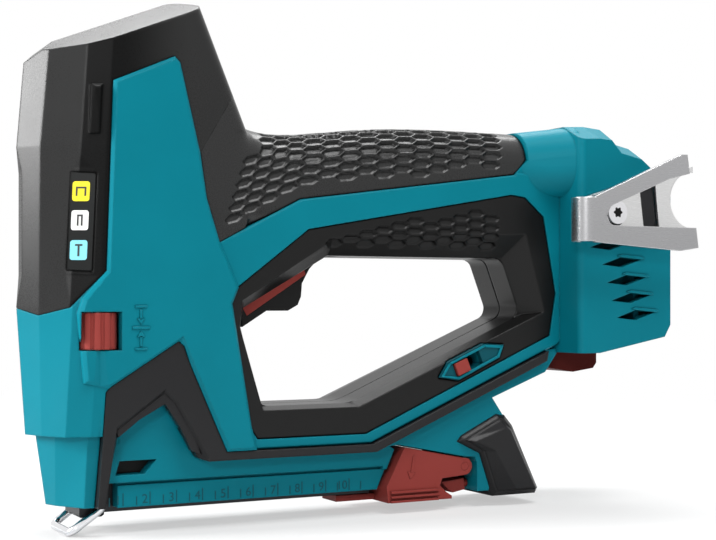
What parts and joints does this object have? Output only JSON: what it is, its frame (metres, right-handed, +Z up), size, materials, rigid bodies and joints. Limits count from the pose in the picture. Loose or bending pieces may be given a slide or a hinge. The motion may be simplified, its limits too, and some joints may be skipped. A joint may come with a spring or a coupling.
{
  "type": "cordless stapler",
  "caption": "Handheld cordless stapler with a tall drive head over the nose, a looped grip with a trigger, a staple magazine below and a rear block with belt hook and battery dock.",
  "frame": {"origin": "middle of the nose face where the driver blade comes out, on the drive axis", "axes": "+X from the drive axis to the battery end, +Y to the user's right, +Z up the drive axis"},
  "size_m": [0.2755, 0.0802, 0.1913],
  "materials": {
    "teal": "fine moulded grain",
    "black_plastic": "moulded",
    "black_rubber": "matte",
    "red": "satin",
    "label": "printed",
    "steel": "plated",
    "chrome": "polished",
    "dark_steel": "ground",
    "spring_steel": "drawn",
    "brass": "turned",
    "board": "coated"
  },
  "bodies": {
    "housing": {"left_housing": "teal", "right_housing": "teal", "switch_frame": "teal", "head_cover": "black_plastic", "left_trim": "black_plastic", "right_trim": "black_plastic", "battery_shoe": "black_plastic", "trigger_switch": "black_plastic", "left_grip": "black_rubber", "right_grip": "black_rubber", "left_liner": "black_rubber", "right_liner": "black_rubber", "rear_foot": "black_rubber", "stop_pad": "black_rubber", "bumper": "red", "label_plate": "label", "belt_hook": "steel", "hook_screw": "steel", "magazine_channel": "steel", "magazine_core": "steel", "left_drive_plate": "steel", "right_drive_plate": "steel", "spring_seat": "steel", "housing_screws": "dark_steel", "nose_block": "dark_steel", "guide_rods": "dark_steel", "idler_pin": "dark_steel", "stator": "dark_steel", "motor_can": "dark_steel", "trigger_pin": "dark_steel", "lever_pin": "dark_steel", "drive_spring": "spring_steel", "bail_springs": "spring_steel", "trigger_spring": "spring_steel", "latch_springs": "spring_steel", "pusher_spring": "spring_steel", "hook_inserts": "brass", "contact_blades": "brass", "control_board": "board"},
    "trigger": {"trigger": "black_plastic", "trigger_inlay": "red"},
    "lock_slider": {"lock_slider": "red"},
    "depth_wheel": {"depth_wheel": "red", "depth_spindle": "dark_steel"},
    "depth_stop": {"depth_stop": "black_plastic"},
    "contact_bail": {"contact_bail": "chrome"},
    "plunger": {"plunger": "dark_steel", "driver_blade": "dark_steel"},
    "lifter": {"lifter": "dark_steel", "lifter_shaft": "dark_steel", "lifter_gear": "dark_steel"},
    "idler": {"idler_gear": "dark_steel"},
    "rotor": {"rotor": "dark_steel", "motor_pinion": "dark_steel"},
    "magazine_lever": {"magazine_lever": "red"},
    "magazine_latch": {"magazine_latch": "red"},
    "pusher": {"pusher": "steel"}
  },
  "joints": [
    {"name": "rotor_spin", "type": "hinge", "parent": "housing", "child": "rotor", "pos_m": [0.02861, 0, 0.11451], "axis": [0, 1, 0], "range_deg": [0, 1430]},
    {"name": "idler_spin", "type": "hinge", "parent": "housing", "child": "idler", "pos_m": [0.02652, 0, 0.09061], "axis": [0, 1, 0], "range_deg": [-480, 0]},
    {"name": "lifter_spin", "type": "hinge", "parent": "housing", "child": "lifter", "pos_m": [0.022, 0, 0.065], "axis": [0, 1, 0], "range_deg": [0, 144]},
    {"name": "plunger_slide", "type": "slide", "parent": "housing", "child": "plunger", "axis": [0, 0, 1], "range_m": [0, 0.0299], "stiffness_N_per_m": 1200, "springref_m": -0.02, "deforming": ["drive_spring"]},
    {"name": "trigger_pull", "type": "hinge", "parent": "housing", "child": "trigger", "pos_m": [0.089, 0, 0.0984], "axis": [0, 1, 0], "range_deg": [0, 6], "stiffness_Nm_per_rad": 0.6, "springref_deg": -8.59, "deforming": ["trigger_spring"]},
    {"name": "lock_slide", "type": "slide", "parent": "housing", "child": "lock_slider", "axis": [0.9245, 0, 0.3811], "range_m": [0, 0.0065]},
    {"name": "depth_turn", "type": "hinge", "parent": "housing", "child": "depth_wheel", "pos_m": [-0.0006, -0.0163, 0.0659], "axis": [0, 0, 1], "range_deg": [-180, 180]},
    {"name": "depth_slide", "type": "slide", "parent": "housing", "child": "depth_stop", "axis": [0, 0, 1], "range_m": [-0.0015, 0.0015]},
    {"name": "bail_slide", "type": "slide", "parent": "housing", "child": "contact_bail", "axis": [0, 0, 1], "range_m": [0, 0.006], "stiffness_N_per_m": 1600, "springref_m": -0.006, "deforming": ["bail_springs"]},
    {"name": "lever_swing", "type": "hinge", "parent": "housing", "child": "magazine_lever", "pos_m": [0.15, 0, 0.0106], "axis": [0, -1, 0], "range_deg": [0, 10]},
    {"name": "latch_slide", "type": "slide", "parent": "housing", "child": "magazine_latch", "axis": [1, 0, 0], "range_m": [0, 0.002], "stiffness_N_per_m": 600, "springref_m": -0.004, "deforming": ["latch_springs"]},
    {"name": "pusher_slide", "type": "slide", "parent": "housing", "child": "pusher", "axis": [1, 0, 0], "range_m": [0, 0.07], "stiffness_N_per_m": 40, "springref_m": -0.08, "deforming": ["pusher_spring"]}
  ],
  "couplings": [
    {"joint": "rotor_spin", "follows": "plunger_slide", "rad_per_m": 833.33},
    {"joint": "idler_spin", "follows": "plunger_slide", "rad_per_m": -277.78},
    {"joint": "lifter_spin", "follows": "plunger_slide", "rad_per_m": 83.333},
    {"joint": "depth_turn", "follows": "depth_slide", "rad_per_m": 2094.4}
  ]
}
